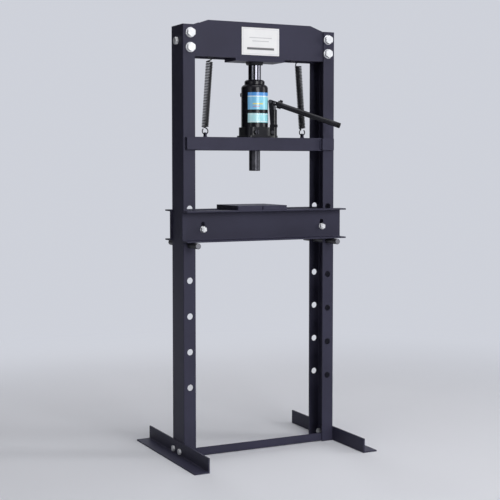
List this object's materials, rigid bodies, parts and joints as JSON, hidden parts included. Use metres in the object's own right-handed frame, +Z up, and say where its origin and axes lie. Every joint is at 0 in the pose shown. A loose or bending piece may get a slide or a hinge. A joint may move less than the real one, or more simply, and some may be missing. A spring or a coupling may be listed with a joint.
{
  "type": "hydraulic shop press",
  "caption": "H-frame shop press: a bottle jack pushes a spring-returned carriage down onto a height-adjustable bed with loose press plates.",
  "frame": {"origin": "on the floor, in the middle between the two uprights", "axes": "+X to the right seen from the front, +Y to the back, +Z up"},
  "size_m": [0.694, 0.52, 1.488],
  "materials": {
    "black_coat": "satin powder coat",
    "zinc": "bright zinc plate",
    "dark_steel": "black oxide",
    "spring_black": "black, semi gloss",
    "jack_gloss": "gloss enamel",
    "jack_casting": "cast, gloss enamel",
    "polished_steel": "polished",
    "sign_white": "white enamel",
    "label_blue": "printed film",
    "label_cyan": "printed film",
    "rubber": "matt"
  },
  "bodies": {
    "frame": {"left_upright": "black_coat", "right_upright": "black_coat", "beam_front_plate": "black_coat", "beam_rear_plate": "black_coat", "beam_stiffeners": "black_coat", "beam_end_plates": "black_coat", "head_plate": "black_coat", "spring_anchor_rods": "black_coat", "sign_plate": "sign_white", "beam_bolts": "zinc", "beam_washers": "zinc", "beam_nuts": "zinc", "side_bolts": "zinc", "side_nuts": "zinc", "left_foot": "black_coat", "right_foot": "black_coat", "foot_bolts": "zinc", "foot_nuts": "zinc", "lower_brace": "black_coat", "left_spring": "spring_black", "right_spring": "spring_black", "ram": "polished_steel", "piston_seal": "rubber", "extension_screw": "polished_steel", "saddle": "jack_gloss"},
    "bed": {"bed_front_channel": "black_coat", "bed_rear_channel": "black_coat", "bed_tie_rods": "zinc", "bed_tie_washers": "zinc", "bed_tie_nuts": "zinc", "left_press_plate": "black_coat", "right_press_plate": "black_coat"},
    "left_pin": {"left_bed_pin": "dark_steel"},
    "right_pin": {"right_bed_pin": "dark_steel"},
    "carriage": {"carriage_channel": "black_coat", "carriage_pad": "black_coat", "front_guide_plates": "black_coat", "rear_guide_plates": "black_coat", "pin_socket": "black_coat", "pressing_pin": "dark_steel", "pin_set_screw": "zinc", "spring_lugs": "black_coat", "jack_base": "jack_casting", "jack_cylinder": "polished_steel", "jack_reservoir": "jack_gloss", "jack_top_nut": "jack_gloss", "label_upper": "label_blue", "label_lower": "label_cyan", "filler_plug": "rubber", "pump_barrel": "jack_gloss", "fulcrum_links": "jack_gloss", "link_pins": "dark_steel"},
    "plunger": {"pump_plunger": "dark_steel", "plunger_pin": "dark_steel"},
    "handle": {"handle_socket": "jack_gloss", "handle": "jack_gloss", "handle_cap": "rubber", "handle_screw": "jack_gloss"},
    "release": {"release_valve": "dark_steel"}
  },
  "joints": [
    {"name": "carriage_slide", "type": "slide", "parent": "frame", "child": "carriage", "axis": [0, 0, 1], "range_m": [-0.095, 0.045], "stiffness_N_per_m": 4000, "springref_m": 0.039, "deforming": ["left_spring", "right_spring"]},
    {"name": "bed_lift", "type": "slide", "parent": "frame", "child": "bed", "axis": [0, 0, 1], "range_m": [0, 0.02]},
    {"name": "left_pin_slide", "type": "slide", "parent": "frame", "child": "left_pin", "axis": [0, -1, 0], "range_m": [0, 0.245]},
    {"name": "right_pin_slide", "type": "slide", "parent": "frame", "child": "right_pin", "axis": [0, -1, 0], "range_m": [0, 0.245]},
    {"name": "handle_pivot", "type": "hinge", "parent": "carriage", "child": "handle", "pos_m": [0.04856, -0.02582, 1.2195], "axis": [-0.4695, -0.8829, 0], "range_deg": [0, 50]},
    {"name": "plunger_slide", "type": "slide", "parent": "carriage", "child": "plunger", "axis": [0, 0, 1], "range_m": [0, 0.0115]},
    {"name": "release_turn", "type": "hinge", "parent": "carriage", "child": "release", "pos_m": [-0.02, -0.0478, 1.113], "axis": [0, -1, 0], "range_deg": [0, 360]}
  ],
  "couplings": [
    {"joint": "plunger_slide", "follows": "handle_pivot", "m_per_rad": 0.01299}
  ]
}
